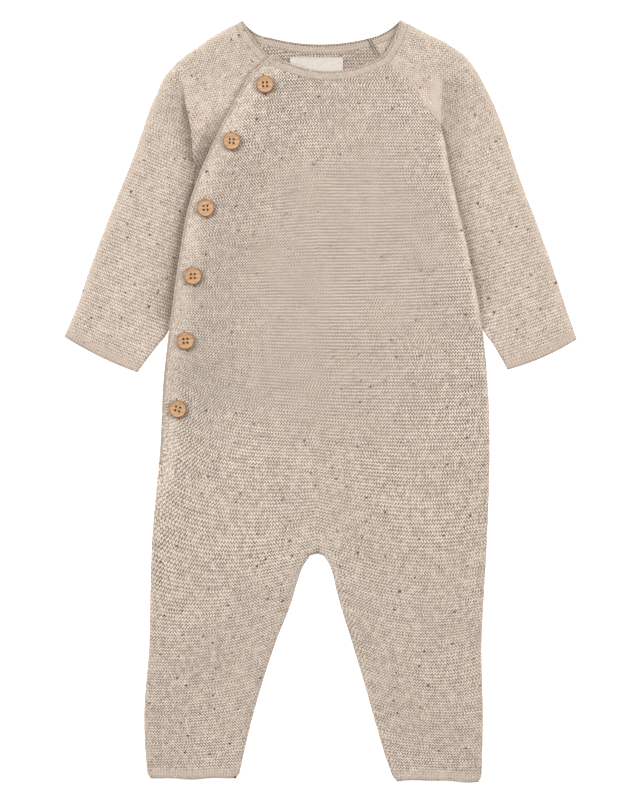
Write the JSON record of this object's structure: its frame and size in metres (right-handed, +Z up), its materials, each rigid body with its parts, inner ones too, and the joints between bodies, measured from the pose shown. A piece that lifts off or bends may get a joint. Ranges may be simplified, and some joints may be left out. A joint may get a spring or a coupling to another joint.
{
  "type": "footless sleepsuit",
  "caption": "Footless knitted baby sleepsuit laid flat, with raglan sleeves, a narrow neckband and a slanting overlap down one side closed by wooden buttons.",
  "frame": {"origin": "middle of the garment's footprint, on the surface it lies on", "axes": "+Y from the leg hems to the neck, +Z up through the front, +X towards the wearer's left"},
  "size_m": [0.3849, 0.572, 0.0109],
  "materials": {
    "knit": "fine garter-stitch cotton knit in oatmeal yarn with sparse dark flecks",
    "band": "smooth plain knit of the same yarn",
    "label": "bare cream woven satin ribbon",
    "wood": "satin tan wood"
  },
  "bodies": {
    "root": {"front": "knit", "back": "knit", "sleeve_left": "knit", "sleeve_right": "knit", "neckband": "band", "button_stand": "band", "overlap_binding": "band", "neck_label": "label", "button_1": "wood", "button_2": "wood", "button_3": "wood", "button_4": "wood", "button_5": "wood", "button_6": "wood"}
  },
  "joints": []
}
